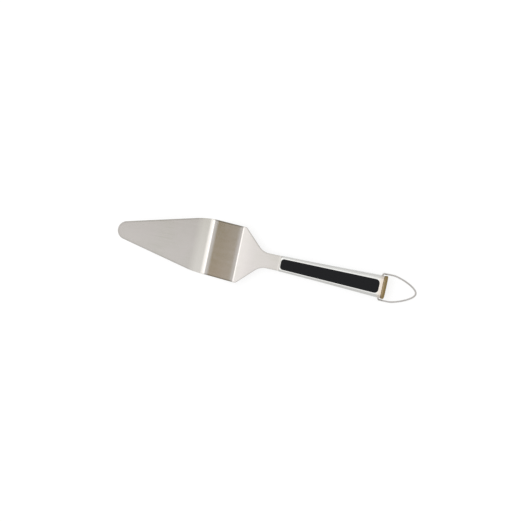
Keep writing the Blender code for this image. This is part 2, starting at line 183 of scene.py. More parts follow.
stageSettings = {
    "worldDiffuse": 0.8,  # strength of the world on matt surfaces, where 1 is white
    "floorSize": 6.0,
    "floorColour": (0.3, 0.3, 0.3),
    "floorRoughness": 0.9,
    "floorGlow": 0.76,  # for the camera and in reflections, so that the floor is white
    "softboxes": {  # place, width along X, length across it, degrees turned towards -Y, brightness
        "broadSoftbox": ((-0.305, 0.05, 1.0), 0.65, 1.3, 0.0, 0.62),
        "heelSoftbox": ((-0.37, 0.0, 0.97), 0.28, 0.9, 0.0, 0.75),
        "neckSoftbox": ((0.085, 0.05, 0.99), 0.13, 0.95, 0.0, 0.34),
        "sideSoftbox": ((0.05, 1.0, 0.52), 1.4, 0.8, 62.0, 0.25),
    },
    "cardRimShares": (0.3, 0.5),  # of a card's width, from its middle line: where the rim's tint grows
    "cards": {  # turn is in degrees from the horizontal, and the side's tint grows over sideRange, along Y
        "brownCard": {
            "place": (-0.65, -0.06, 0.41), "width": 0.57, "length": 0.9, "turn": 55.0,
            "middle": (0.527, 0.412, 0.255), "rim": (0.62, 0.6, 0.5),
            "side": (0.36, 0.295, 0.165), "sideRange": (-0.09, 0.0),
        },
        "whiteCard": {
            "place": (0.38, -0.05, 1.02), "width": 0.44, "length": 1.1, "turn": 0.0,
            "middle": (1.08, 1.08, 1.08), "rim": (1.08, 1.08, 1.08),
            "side": (0.76, 0.755, 0.7), "sideRange": (-0.11, 0.01),
        },
    },
}


def whiteRays(tree):
    # 1 for rays from the camera, from glossy surfaces and through glass, which see a white surround
    rays = addNode(tree, "ShaderNodeLightPath").outputs
    seen = calculate(tree, "ADD", rays["Is Camera Ray"], rays["Is Glossy Ray"], clamp=True)
    return calculate(tree, "ADD", seen, rays["Is Transmission Ray"], clamp=True)


def makeWorld(settings):
    world = bpy.data.worlds.new("whiteWorld")
    bpy.context.scene.world = world
    world.use_nodes = True
    tree = world.node_tree
    background = tree.nodes["Background"]
    strength = remap(tree, whiteRays(tree), 0.0, 1.0, settings["worldDiffuse"], 1.0)
    setInputs(tree, background, {"Color": white, "Strength": strength})


def flatSheet(name, width, length, place):
    # a single upward face, for the floor and the cards
    bm = bmesh.new()
    halfX, halfY = width / 2, length / 2
    corners = [(-halfX, -halfY), (halfX, -halfY), (halfX, halfY), (-halfX, halfY)]
    bm.faces.new([bm.verts.new(place @ Vector((x, y, 0))) for x, y in corners])
    sheet = newPiece(name, bm)
    return sheet


def makeFloor(settings):
    floor = flatSheet("floor", settings["floorSize"], settings["floorSize"], Matrix.Identity(4))
    material, tree, shader = newMaterial("paleFloor")
    glow = calculate(tree, "MULTIPLY", whiteRays(tree), settings["floorGlow"])
    setInputs(tree, shader, {
        "Base Color": colour(settings["floorColour"]), "Roughness": settings["floorRoughness"],
        "Specular IOR Level": 0.0, "Emission Color": white, "Emission Strength": glow,
    })
    floor.data.materials.append(material)


def makeSoftbox(name, place, width, length, turn, brightness):
    data = bpy.data.lights.new(name, "AREA")
    data.shape = "RECTANGLE"
    data.size, data.size_y = width, length
    data.energy = brightness * math.pi * width * length  # watts: 1 shows as about 0.8 of white in a mirror
    lamp = addObject(name, data)
    lamp.location = place
    lamp.rotation_euler.x = -math.radians(turn)
    lamp.visible_camera = False


def makeCard(name, card):
    # a card that only reflections see, with other tints towards its long edges and towards +Y
    turn = Matrix.Rotation(math.radians(card["turn"]), 4, "Y")
    sheet = flatSheet(name, card["width"], card["length"], Matrix.Translation(card["place"]) @ turn)
    sheet.visible_camera = sheet.visible_diffuse = sheet.visible_shadow = False
    material, tree, shader = newMaterial(name)
    point = addNode(tree, "ShaderNodeTexCoord").outputs["Object"]
    apart = vectorStep(tree, "SUBTRACT", point, card["place"])
    across = vectorStep(tree, "DOT_PRODUCT", apart, turn @ Vector((1, 0, 0)), "Value")
    rimRange = [card["width"] * share for share in stageSettings["cardRimShares"]]
    edge = remap(tree, calculate(tree, "ABSOLUTE", across), *rimRange)
    tint = mixColours(tree, edge, colour(card["middle"]), colour(card["rim"]))
    aside = remap(tree, partsOf(tree, point)["Y"], *card["sideRange"])
    tint = mixColours(tree, aside, tint, colour(card["side"]))
    setInputs(tree, shader, {
        "Base Color": black, "Specular IOR Level": 0.0, "Emission Color": tint, "Emission Strength": 1.0,
    })
    sheet.data.materials.append(material)


bpy.context.scene.view_settings.view_transform = "Standard"
makeWorld(stageSettings)
makeFloor(stageSettings)
for softboxName, softbox in stageSettings["softboxes"].items():
    makeSoftbox(softboxName, *softbox)
for cardName, card in stageSettings["cards"].items():
    makeCard(cardName, card)
print("stage built")


# shader groups that the finishes share: ranges are the noise values where a mask goes from 0 to 1

effectSettings = {
    "streakScale": (0.4, 0.12, 0.12),  # streaks are longer than scratches, and much wider
    "streakRange": (0.35, 0.65),
    "scratchRoughness": 0.6,
    "markRange": (0.38, 0.66),
    "markDistortion": 0.4,
    "smudgeScale": 3.7,  # finger marks are this much smaller than marks
    "smudgeRange": (0.5, 0.75),
    "smudgeDistortion": 1.2,
    "handlingRoughness": 0.55,
    "wearRange": (0.25, 0.6),
    "leastWear": 0.65,
    "mottleScale": 0.05,
    "mottleRange": (0.3, 0.7),
}


def newEffect(name, sizes, outputs):
    # a group that takes a place and some sizes, and gives heights and masks
    inputs = {"Vector": ("Vector", None), **{size: ("Float", value) for size, value in sizes.items()}}
    return newTree(name, "ShaderNodeTree", inputs, {output: "Float" for output in outputs})


def scaleFor(tree, size):
    return calculate(tree, "DIVIDE", 1.0, size)


def makeBrushedGrain(effects):
    # fine scratches that run along X, and broader streaks of them
    sizes = {"Length": 0.03, "Width": 0.0003}
    tree, given, result = newEffect("brushedGrain", sizes, ("Height", "Streaks"))
    along, across = scaleFor(tree, given["Length"]), scaleFor(tree, given["Width"])
    point = vectorStep(tree, "MULTIPLY", given["Vector"], joinParts(tree, along, across, across))
    wide = vectorStep(tree, "MULTIPLY", point, effects["streakScale"])
    streaks = remap(tree, noise(tree, wide, 1.0, 2.0), *effects["streakRange"])
    scratches = noise(tree, point, 1.0, 3.0, Roughness=effects["scratchRoughness"])
    setInputs(tree, result, {"Height": scratches, "Streaks": streaks})
    return tree


def makeHandlingMarks(effects):
    # soft patches where a surface was wiped or held
    tree, given, result = newEffect("handlingMarks", {"Size": 0.03}, ("Marks", "Smudges"))
    scale = scaleFor(tree, given["Size"])
    for name, shrink in (("mark", 1.0), ("smudge", effects["smudgeScale"])):
        finer = calculate(tree, "MULTIPLY", scale, shrink)
        look = {"Roughness": effects["handlingRoughness"], "Distortion": effects[f"{name}Distortion"]}
        patches = noise(tree, given["Vector"], finer, 3.0, **look)
        setInputs(tree, result, {f"{name.title()}s": remap(tree, patches, *effects[f"{name}Range"])})
    return tree


def makePaintedRimShade(effects):
    # a rim mask that paints shade along edges and joints, broken up where the rim was polished by use
    tree, given, result = newEffect("paintedRimShade", {"Rim": 0.0, "Size": 0.004}, ("Shade",))
    spots = noise(tree, given["Vector"], scaleFor(tree, given["Size"]), 4.0)
    kept = remap(tree, spots, *effects["wearRange"], effects["leastWear"], 1.0)
    setInputs(tree, result, {"Shade": calculate(tree, "MULTIPLY", given["Rim"], kept, clamp=True)})
    return tree


def makeFineTexture(effects):
    # the fine dull skin of moulded rubber and plastic
    tree, given, result = newEffect("fineTexture", {"Size": 0.0003}, ("Height", "Mottle"))
    scale = scaleFor(tree, given["Size"])
    broader = calculate(tree, "MULTIPLY", scale, effects["mottleScale"])
    mottle = remap(tree, noise(tree, given["Vector"], broader, 3.0), *effects["mottleRange"])
    setInputs(tree, result, {"Height": noise(tree, given["Vector"], scale, 2.0), "Mottle": mottle})
    return tree


brushedGrain, handlingMarks = makeBrushedGrain(effectSettings), makeHandlingMarks(effectSettings)
paintedRimShade, fineTexture = makePaintedRimShade(effectSettings), makeFineTexture(effectSettings)


def useGroup(tree, group, **values):
    node = addNode(tree, "ShaderNodeGroup", node_tree=group)
    setInputs(tree, node, values)
    return node.outputs


def attributeOf(tree, name, output="Fac"):
    return addNode(tree, "ShaderNodeAttribute", attribute_name=name).outputs[output]


# finishes

streakTint, streakDullness = 0.6, 0.5  # how much a streak shows in the colour and in the gloss

steelLooks = {
    "sheetSteel": {
        "colour": (0.53, 0.502, 0.485), "markColour": (0.505, 0.486, 0.455),
        "streakColour": (0.54, 0.512, 0.495), "rimShadeColour": (0.26, 0.25, 0.23),
        "paintedLightColour": (0.62, 0.598, 0.565),  # of the band before the heel: a painted highlight, where the bend's highlight fades out
        "roughness": 0.19, "roughnessRange": 0.05, "markSize": 0.035,
        "grainLength": 0.03, "grainWidth": 0.00025, "grainDepth": 0.000004,
    },
    "shellSteel": {
        "colour": (0.55, 0.548, 0.53), "markColour": (0.53, 0.527, 0.51),
        "streakColour": (0.575, 0.573, 0.557), "rimShadeColour": (0.42, 0.415, 0.4),
        "paintedLightColour": (0.54, 0.468, 0.392),  # beside the cap: a painted brown reflection
        "roughness": 0.2, "roughnessRange": 0.05, "markSize": 0.03,
        "grainLength": 0.02, "grainWidth": 0.0002, "grainDepth": 0.000004,
    },
    "capMetal": {
        "colour": (0.245, 0.186, 0.102), "markColour": (0.22, 0.165, 0.088),
        "streakColour": (0.265, 0.203, 0.116), "rimShadeColour": (0.27, 0.21, 0.13),
        "edgeTint": (0.55, 0.44, 0.24),  # where it is seen at a low angle
        "roughness": 0.3, "roughnessRange": 0.08, "markSize": 0.012,
        "grainLength": 0.004, "grainWidth": 0.0002, "grainDepth": 0.000004,
    },
    "wireSteel": {
        "colour": (0.46, 0.445, 0.43), "markColour": (0.41, 0.39, 0.37),
        "streakColour": (0.5, 0.487, 0.475), "rimShadeColour": (0.4, 0.38, 0.36),
        "roughness": 0.17, "roughnessRange": 0.06, "markSize": 0.01,
        "grainLength": 0.006, "grainWidth": 0.00015, "grainDepth": 0.000003,
    },
    "rivetSteel": {
        "colour": (0.58, 0.575, 0.56), "markColour": (0.52, 0.51, 0.49),
        "streakColour": (0.6, 0.595, 0.58), "rimShadeColour": (0.45, 0.44, 0.43),
        "roughness": 0.3, "roughnessRange": 0.08, "markSize": 0.004,
        "grainLength": 0.002, "grainWidth": 0.0002, "grainDepth": 0.000003,
    },
}


def finishEnd(tree, shader, look, tint, dull, fullyDull, height):
    # the colour, a roughness that follows how dull a place is, and the grain's bump
    least, most = look["roughness"], look["roughness"] + look["roughnessRange"]
    roughness = remap(tree, dull, 0.0, fullyDull, least, most)
    bump = addNode(tree, "ShaderNodeBump", {"Height": height, "Distance": look["grainDepth"]})
    setInputs(tree, shader, {"Base Color": tint, "Roughness": roughness, "Normal": bump.outputs["Normal"]})


def steelFinish(name, place="Object"):
    # brushed metal: place is "Object", or the name of the attribute that the grain follows
    look = steelLooks[name]
    material, tree, shader = newMaterial(name)
    if place == "Object":
        point = addNode(tree, "ShaderNodeTexCoord").outputs["Object"]
    else:
        point = attributeOf(tree, place, "Vector")
    grain = useGroup(tree, brushedGrain, Vector=point, Length=look["grainLength"], Width=look["grainWidth"])
    marks = useGroup(tree, handlingMarks, Vector=point, Size=look["markSize"])
    # the rim attribute mixes in painted shade along edges and at joints
    rimShade = useGroup(tree, paintedRimShade, Vector=point, Rim=attributeOf(tree, "rim"))
    tint = mixColours(tree, marks["Marks"], colour(look["colour"]), colour(look["markColour"]))
    lighter = calculate(tree, "MULTIPLY", grain["Streaks"], streakTint)
    tint = mixColours(tree, lighter, tint, colour(look["streakColour"]))
    tint = mixColours(tree, rimShade["Shade"], tint, colour(look["rimShadeColour"]))
    # the zone attribute paints light: a highlight band on the sheet, a brown reflection beside the cap
    if "paintedLightColour" in look:
        tint = mixColours(tree, attributeOf(tree, "paintedLight"), tint, colour(look["paintedLightColour"]))
    shader.inputs["Metallic"].default_value = 1.0
    if "edgeTint" in look:
        shader.inputs["Specular Tint"].default_value = colour(look["edgeTint"])
    dull = calculate(tree, "MULTIPLY_ADD", grain["Streaks"], streakDullness, marks["Smudges"])
    finishEnd(tree, shader, look, tint, dull, 1.0 + streakDullness, grain["Height"])
    return material


mouldedLooks = {
    "gripRubber": {
        "colour": (0.0055, 0.0058, 0.007), "mottleColour": (0.009, 0.0092, 0.0108),
        "rimShadeColour": (0.005, 0.0055, 0.007), "roughness": 0.62, "roughnessRange": 0.14, "specular": 0.15,
        "grainSize": 0.00028, "grainDepth": 0.00002,
    },
    "corePlastic": {
        "colour": (0.075, 0.075, 0.08), "mottleColour": (0.09, 0.09, 0.095),
        "rimShadeColour": (0.06, 0.06, 0.065), "roughness": 0.5, "roughnessRange": 0.1, "specular": 0.5,
        "grainSize": 0.0004, "grainDepth": 0.00002,
    },
}


def mouldedFinish(name):
    look = mouldedLooks[name]
    material, tree, shader = newMaterial(name)
    point = addNode(tree, "ShaderNodeTexCoord").outputs["Object"]
    skin = useGroup(tree, fineTexture, Vector=point, Size=look["grainSize"])
    # the rim attribute mixes in painted shade at the pads' edges
    rimShade = useGroup(tree, paintedRimShade, Vector=point, Rim=attributeOf(tree, "rim"))
    tint = mixColours(tree, skin["Mottle"], colour(look["colour"]), colour(look["mottleColour"]))
    tint = mixColours(tree, rimShade["Shade"], tint, colour(look["rimShadeColour"]))
    shader.inputs["Specular IOR Level"].default_value = look["specular"]
    finishEnd(tree, shader, look, tint, skin["Mottle"], 1.0, skin["Height"])
    return material


sheetSteel = steelFinish("sheetSteel", "flatPlace")
shellSteel = steelFinish("shellSteel")
capMetal = steelFinish("capMetal")
wireSteel = steelFinish("wireSteel", "wirePlace")
rivetSteel = steelFinish("rivetSteel")
gripRubber, corePlastic = mouldedFinish("gripRubber"), mouldedFinish("corePlastic")
print("finishes made")


# helpers for pieces

mergeDistance, sharpAngle = 1e-7, math.radians(40)


def growBy(piece, tree, values):
    # puts a Geometry Nodes tree on a piece and sets its inputs by their names
    modifier = piece.modifiers.new(tree.name, "NODES")
    modifier.node_group = tree
    for item in tree.interface.items_tree:
        if item.item_type == "SOCKET" and item.in_out == "INPUT" and item.name in values:
            modifier[item.identifier] = values[item.name]


def newRule(name, inputs):
    # a tree that makes a piece from its blank and its material
    everything = {"Geometry": ("Geometry", None), **inputs, "Material": ("Material", None)}
    return newTree(name, "GeometryNodeTree", everything, {"Geometry": "Geometry"})


def pointPlace(tree):
    # X, Y and Z of each point
    return partsOf(tree, tree.nodes.new("GeometryNodeInputPosition").outputs[0])


def movePoints(tree, geometry, x, y, z):
    values = {"Geometry": geometry, "Position": joinParts(tree, x, y, z)}
    return addNode(tree, "GeometryNodeSetPosition", values).outputs["Geometry"]


def storePlace(tree, geometry, name, place):
    # keeps a place as an attribute, which the finish's grain follows
    values = {"Geometry": geometry, "Name": name, "Value": place}
    settings = {"data_type": "FLOAT_VECTOR", "domain": "POINT"}
    return addNode(tree, "GeometryNodeStoreNamedAttribute", values, **settings).outputs["Geometry"]


def finishTree(tree, geometry, given, result):
    # the end of every rule: real geometry with its material
    real = addNode(tree, "GeometryNodeRealizeInstances", {"Geometry": geometry}).outputs["Geometry"]
    painted = addNode(tree, "GeometryNodeSetMaterial", {"Geometry": real, "Material": given["Material"]})
    setInputs(tree, result, {"Geometry": painted.outputs["Geometry"]})


def settle(piece, place, body, slot, *nodes):
    # turns a piece and its modifiers into a plain mesh at its place, which stands for CAD nodes
    bpy.context.view_layer.update()
    graph = bpy.context.evaluated_depsgraph_get()
    shown = piece.evaluated_get(graph)
    mesh = bpy.data.meshes.new_from_object(shown, preserve_all_data_layers=True, depsgraph=graph)
    name, old = piece.name, piece.data
    piece.modifiers.clear()
    piece.data = mesh
    bpy.data.meshes.remove(old)
    mesh.name = name
    mesh.transform(place)
    bm = bmesh.new()
    bm.from_mesh(mesh)
    bmesh.ops.remove_doubles(bm, verts=bm.verts, dist=mergeDistance)
    bmesh.ops.recalc_face_normals(bm, faces=bm.faces)
    bm.to_mesh(mesh)
    bm.free()
    mesh.shade_smooth()
    mesh.set_sharp_from_angle(angle=sharpAngle)
    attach(piece, body)
    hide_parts(*nodes)
    print(name, "made with", len(mesh.polygons), "faces")


def makeCutter(name, bm):
    cutter = newPiece(name, bm)
    cutter.hide_render = True
    return cutter


def roundCutter(name, radius, depth, place, steps):
    bm = bmesh.new()
    sizes = {"radius1": radius, "radius2": radius, "depth": depth}
    bmesh.ops.create_cone(bm, cap_ends=True, segments=steps, matrix=place, **sizes)
    return makeCutter(name, bm)


def cutBy(piece, *cutters):
    for cutter in cutters:
        boolean = piece.modifiers.new(cutter.name, "BOOLEAN")
        boolean.operation, boolean.solver, boolean.object = "DIFFERENCE", "EXACT", cutter


def roundCorner(before, corner, after, radius, steps):
    # points of an arc that rounds a corner of an outline, no larger than its two sides allow
    corner = Vector(corner)
    back, forward = Vector(before) - corner, Vector(after) - corner
    halfAngle = back.angle(forward) / 2
    reach = min(radius / math.tan(halfAngle), back.length / 2, forward.length / 2)
    radius = reach * math.tan(halfAngle)
    back.normalize()
    forward.normalize()
    centre = corner + (back + forward).normalized() * math.hypot(reach, radius)
    first, last = corner + back * reach - centre, corner + forward * reach - centre
    turn = first.angle_signed(last)
    return [centre + Matrix.Rotation(-turn * k / steps, 2) @ first for k in range(steps + 1)]


def quarterRound(radius, steps):
    # steps of a quarter circle: what is left of one side, and what is gone of the other
    turns = [math.pi / 2 * k / steps for k in range(steps + 1)]
    return [(radius * (1 - math.sin(turn)), radius * (1 - math.cos(turn))) for turn in turns]


def ringFaces(bm, rings):
    # quads between closed rings of points, each ring a list of vertices
    for near, far in zip(rings, rings[1:]):
        for k, corner in enumerate(near):
            j = (k + 1) % len(near)
            bm.faces.new((corner, near[j], far[j], far[k]))


def stackRings(bm, rows):
    # a skin through rows of points, each row with how much of the rim's painted shade it shows
    rimShadeLayer = bm.verts.layers.float.new("rim")
    rings = []
    for points, rim in rows:
        rings.append([bm.verts.new(point) for point in points])
        for vert in rings[-1]:
            vert[rimShadeLayer] = rim
    ringFaces(bm, rings)
    return rings


# where the server lies, from the underside of its blade and the pivot of its loop

underside = next(mount for mount in frame["record"]["mounts"] if mount["name"] == "blade_underside")
down = Vector(underside["axis"])
bladeTilt = math.atan2(-down.x, -down.z)
loopPivot = Vector(frame["joints"][0]["pos_m"])


# bent sheet: a flat blank with round edges, bent along its lines

sheetSettings = {
    "thickness": 0.0018,
    "edgeRounding": 0.0004,
    "edgeSteps": 4,
    "rimWidth": 0.0022,  # how far in the darker rim, a painted shade along the sheet's edges, reaches
    "rimMiddle": (0.5, 0.6),  # share of that width, and the rim's strength there
    "rimShares": ((0.103, 0.4), (0.113, 1.0), (0.146, 1.0), (0.151, 0.2)),  # its strength along the sheet
    "tipRadius": 0.0107,
    "cornerSteps": {"tip": 28, "heel": 16, "shoulder": 8, "neck": 20, "tang": 6},
    "bladeLength": 0.1073,  # lengths along the sheet
    "heelSetback": 0.009,
    "heelWidth": 0.0654,
    "heelRadius": 0.095,
    "riserLength": 0.0419,
    "shoulderLand": 0.0029,
    "shoulderWidth": 0.0657,
    "shoulderRadius": 0.003,
    "shoulderTaper": 44.6,  # degrees
    "neckRadius": 0.017,
    "neckWidth": 0.0176,
    "neckLength": 0.02215,
    "tangGap": 0.00015,
    "tangWidth": 0.0115,
    "tangLength": 0.075,
    "tangRadius": 0.003,
    "rivetShares": (0.36, 0.84),  # of the tang's length
    "rivetHoleRadius": 0.0018,
    "rivetHoleSteps": 32,
    "bends": {  # middle along the sheet, radius, degrees turned up, steps
        "lead-in": (0.09969, 0.1, 4.0, 6),
        "heel front": (0.105845, 0.0165, 18.5, 16),
        "heel back": (0.109399, 0.0085, 12.0, 12),
        "lead-out": (0.112689, 0.05, 5.5, 6),
        "second front": (0.145535, 0.085, -3.0, 6),
        "second": (0.148959, 0.006, -22.5, 16),
        "shoulder": (0.157527, 0.35, -2.5, 4),
        "neck": (0.196491, 0.012, 8.0, 6),
    },
    # a lighter band before the heel bend: painted highlight
    "paintedHighlightZone": ((0.088, 0.0), (0.097, 1.0), (0.105, 1.0), (0.109, 0.0)),
    "jointGrimeAndShadeLength": 0.003,  # painted shade at the neck's end, beside the handle, partly grime in the joint
    "jointGrimeAndShadeShare": 0.5,
    "gridStep": 0.004,  # the flats are cut this finely
    "gridLines": (-0.004, 0.0, 0.004),
    "cutTolerance": 0.000001,
}


def blankOutline(sheet):
    # the flat blank, as distance along the sheet and across it, clockwise from the tip
    tip, steps = sheet["tipRadius"], sheet["cornerSteps"]
    shoulderAt = sheet["bladeLength"] + sheet["riserLength"] + sheet["shoulderLand"]
    narrowing = (sheet["shoulderWidth"] - sheet["neckWidth"]) / 2
    neckAt = shoulderAt + narrowing / math.tan(math.radians(sheet["shoulderTaper"]))
    neckEnd = neckAt + sheet["neckLength"]
    tangEnd = neckEnd + sheet["tangGap"] + sheet["tangLength"]
    heel = (sheet["bladeLength"] - sheet["heelSetback"], sheet["heelWidth"] / 2)
    shoulder = (shoulderAt, sheet["shoulderWidth"] / 2)
    neck, neckSide = (neckAt, sheet["neckWidth"] / 2), (neckEnd, sheet["neckWidth"] / 2)
    tangSide, tangCorner = (neckEnd, sheet["tangWidth"] / 2), (tangEnd, sheet["tangWidth"] / 2)
    toHeel = Vector(heel) - Vector((tip, 0))
    sideAngle = math.atan2(toHeel.y, toHeel.x) - math.asin(tip / toHeel.length)
    tipTurn = math.pi / 2 - sideAngle
    turns = [tipTurn * k / steps["tip"] for k in range(1, steps["tip"] + 1)]
    side = [Vector((tip * (1 - math.cos(turn)), tip * math.sin(turn))) for turn in turns]
    side += roundCorner(side[-1], heel, shoulder, sheet["heelRadius"], steps["heel"])
    side += roundCorner(heel, shoulder, neck, sheet["shoulderRadius"], steps["shoulder"])
    side += roundCorner(shoulder, neck, neckSide, sheet["neckRadius"], steps["neck"])
    side += [Vector(neckSide), Vector(tangSide)]
    side += roundCorner(tangSide, tangCorner, (tangEnd, 0), sheet["tangRadius"], steps["tang"])
    return [Vector((0, 0))] + side + [Vector((point.x, -point.y)) for point in reversed(side)], neckEnd


def insetOutline(outline, inset):
    # the clockwise outline moved in by this much all round
    moved = []
    for k, point in enumerate(outline):
        before = (point - outline[k - 1]).normalized()
        after = (outline[(k + 1) % len(outline)] - point).normalized()
        inward = Vector((before.y + after.y, -before.x - after.x)).normalized()
        side = Vector((before.y, -before.x))
        moved.append(point + inward * (inset / inward.dot(side)))
    return moved


def shareAt(steps, x):
    # a value along the sheet, from straight lines between the steps
    (start, share), *rest = steps
    for end, nextShare in rest:
        if x < end:
            return share + (nextShare - share) * max(x - start, 0) / (end - start)
        start, share = end, nextShare
    return share


def sheetBlank(sheet):
    outline, neckEnd = blankOutline(sheet)
    half, width = sheet["thickness"] / 2, sheet["rimWidth"]
    share, rimThere = sheet["rimMiddle"]
    profile = [(width, half, 0.0), (width * share, half, rimThere)]  # inset, height and rim
    for inset, drop in quarterRound(sheet["edgeRounding"], sheet["edgeSteps"]):
        profile.append((inset, half - drop, 1.0))
    profile += [(inset, -height, rim) for inset, height, rim in reversed(profile)]
    bm = bmesh.new()
    rows = []
    for inset, height, rim in profile:
        rows.append(([(*point, height) for point in insetOutline(outline, inset)], rim))
    rings = stackRings(bm, rows)
    bm.faces.new(rings[0])
    bm.faces.new(list(reversed(rings[-1])))
    bmesh.ops.recalc_face_normals(bm, faces=bm.faces)
    cuts = []
    for middle, radius, turn, steps in sheet["bends"].values():
        arc = radius * math.radians(abs(turn))
        cuts += [middle - arc / 2 + arc * k / steps for k in range(steps + 1)]
    spare = sheet["gridStep"] / 2
    grid = [sheet["gridStep"] * k for k in range(1, int(neckEnd / sheet["gridStep"]))]
    cuts += [at for at in grid if all(abs(at - other) > spare for other in cuts)]
    planes = [((at, 0, 0), (1, 0, 0)) for at in sorted(cuts)]
    planes += [((0, y, 0), (0, 1, 0)) for y in sheet["gridLines"]]
    for place, normal in planes:
        cut = {"plane_co": place, "plane_no": normal, "dist": sheet["cutTolerance"]}
        bmesh.ops.bisect_plane(bm, geom=bm.verts[:] + bm.edges[:] + bm.faces[:], **cut)
    paintedLightLayer, rimShadeLayer = bm.verts.layers.float.new("paintedLight"), bm.verts.layers.float["rim"]
    # darker towards the neck's end: painted shade, partly grime in the joint
    jointGrimeAndShadeZone = ((neckEnd - sheet["jointGrimeAndShadeLength"], 0), (neckEnd, sheet["jointGrimeAndShadeShare"]))
    for vert in bm.verts:
        vert[paintedLightLayer] = shareAt(sheet["paintedHighlightZone"], vert.co.x)
        rim = vert[rimShadeLayer] * shareAt(sheet["rimShares"], vert.co.x)
        vert[rimShadeLayer] = max(rim, shareAt(jointGrimeAndShadeZone, vert.co.x))
    return newPiece("bentSheet", bm), neckEnd + sheet["tangGap"]


def makeBendLine():
    # turns all that lies beyond a line across the sheet about a cylinder
    sizes = {name: ("Float", 0.1) for name in ("Middle", "Radius", "Turn")}
    inputs = {"Geometry": ("Geometry", None), **sizes}
    tree, given, result = newTree("bendLine", "GeometryNodeTree", inputs, {"Geometry": "Geometry"})
    find, place = sumsIn(tree), pointPlace(tree)
    side = find("SIGN", given["Turn"])
    arc = find("MULTIPLY", given["Radius"], find("ABSOLUTE", given["Turn"]))
    start = find("MULTIPLY_ADD", arc, -0.5, given["Middle"])
    along = find("SUBTRACT", place["X"], start)
    wound = find("MINIMUM", find("MAXIMUM", along, 0.0), arc)
    swing = find("DIVIDE", wound, given["Radius"])
    before = find("MINIMUM", along, 0.0)
    beyond = find("MAXIMUM", find("SUBTRACT", along, arc), 0.0)
    reach = find("SUBTRACT", given["Radius"], find("MULTIPLY", side, place["Z"]))
    sine, cosine = find("SINE", swing), find("COSINE", swing)
    wrapped = find("MULTIPLY_ADD", reach, sine, find("ADD", start, before))
    newX = find("MULTIPLY_ADD", beyond, cosine, wrapped)
    drop = find("SUBTRACT", given["Radius"], find("MULTIPLY", reach, cosine))
    newZ = find("MULTIPLY", side, find("MULTIPLY_ADD", beyond, sine, drop))
    setInputs(tree, result, {"Geometry": movePoints(tree, given["Geometry"], newX, place["Y"], newZ)})
    return tree


def makeSheetRule(bendLine, bends):
    # bends the blank along each line, the last line first, because each is measured on the flat blank
    words = ("middle", "radius", "turn")
    inputs = {f"{name} {word}": ("Float", 0.1) for name in bends for word in words}
    tree, given, result = newRule("sheetRule", inputs)
    flat = tree.nodes.new("GeometryNodeInputPosition").outputs[0]
    geometry = storePlace(tree, given["Geometry"], "flatPlace", flat)
    for name in reversed(list(bends)):
        values = {word.title(): given[f"{name} {word}"] for word in words}
        bend = addNode(tree, "GeometryNodeGroup", node_tree=bendLine)
        setInputs(tree, bend, {"Geometry": geometry, **values})
        geometry = bend.outputs["Geometry"]
    finishTree(tree, geometry, given, result)
    return tree


def makeSheet(sheet):
    piece, tangStart = sheetBlank(sheet)
    holes = []
    for k, share in enumerate(sheet["rivetShares"]):
        place = Matrix.Translation((tangStart + share * sheet["tangLength"], 0, 0))
        radius, depth = sheet["rivetHoleRadius"], sheet["thickness"] * 3
        holes.append(roundCutter(f"rivetHole{k}", radius, depth, place, sheet["rivetHoleSteps"]))
    cutBy(piece, *holes)
    values = {"Material": sheetSteel}
    for name, (middle, radius, turn, _) in sheet["bends"].items():
        values[f"{name} middle"], values[f"{name} radius"] = middle, radius
        values[f"{name} turn"] = math.radians(turn)
    growBy(piece, makeSheetRule(makeBendLine(), sheet["bends"]), values)
    turn = Matrix.Rotation(bladeTilt, 4, "Y")
    centre = Vector((sheet["bladeLength"] / 2, 0, -sheet["thickness"] / 2))
    place = Matrix.Translation(Vector(underside["pos_m"]) - turn @ centre) @ turn
    settle(piece, place, "server", "sheet_steel", "blade")
    for hole in holes:
        bpy.data.objects.remove(hole)


makeSheet(sheetSettings)


# handle: the rule of its section, and the shells, pads and cap that follow it

handleSettings = {
    "length": 0.1242,
    "frontWidth": 0.0183,
    "endWidth": 0.0263,
    "flareExponent": 1.2,
    "frontHeight": 0.0095,
    "endHeight": 0.0165,
    "sectionExponent": 4.5,  # 2 is an ellipse, and a high number is a rectangle
    "slope": 20.0,  # degrees above the blade's plane
    "pivotSetback": 0.006,
}
pivotAlong = handleSettings["length"] - handleSettings["pivotSetback"]


def halfWidth(x):
    flare = max(x / handleSettings["length"], 0) ** handleSettings["flareExponent"]
    front, end = handleSettings["frontWidth"], handleSettings["endWidth"]
    return (front + (end - front) * flare) / 2


def halfHeight(x):
    front, end = handleSettings["frontHeight"], handleSettings["endHeight"]
    return (front + (end - front) * x / handleSettings["length"]) / 2


def sectionAngle(x, y):
    # the angle about the handle's middle line of a point on its upper face
    exponent, share = handleSettings["sectionExponent"], y / halfWidth(x)
    return math.atan2((1 - abs(share) ** exponent) ** (1 / exponent), share)


def handlePlace():
    # where the handle's own frame is, from the pivot and from the tilt of the blade
    turn = Matrix.Rotation(bladeTilt - math.radians(handleSettings["slope"]), 4, "Y")
    return Matrix.Translation(loopPivot - turn @ Vector((pivotAlong, 0, 0))) @ turn


sizeNames = {  # the rules' inputs, and the settings that they take
    "Length": "length", "Front width": "frontWidth", "End width": "endWidth", "Front height": "frontHeight",
    "End height": "endHeight", "Flare exponent": "flareExponent", "Section exponent": "sectionExponent",
}
sizeInputs = {name: ("Float", 1.0) for name in sizeNames}


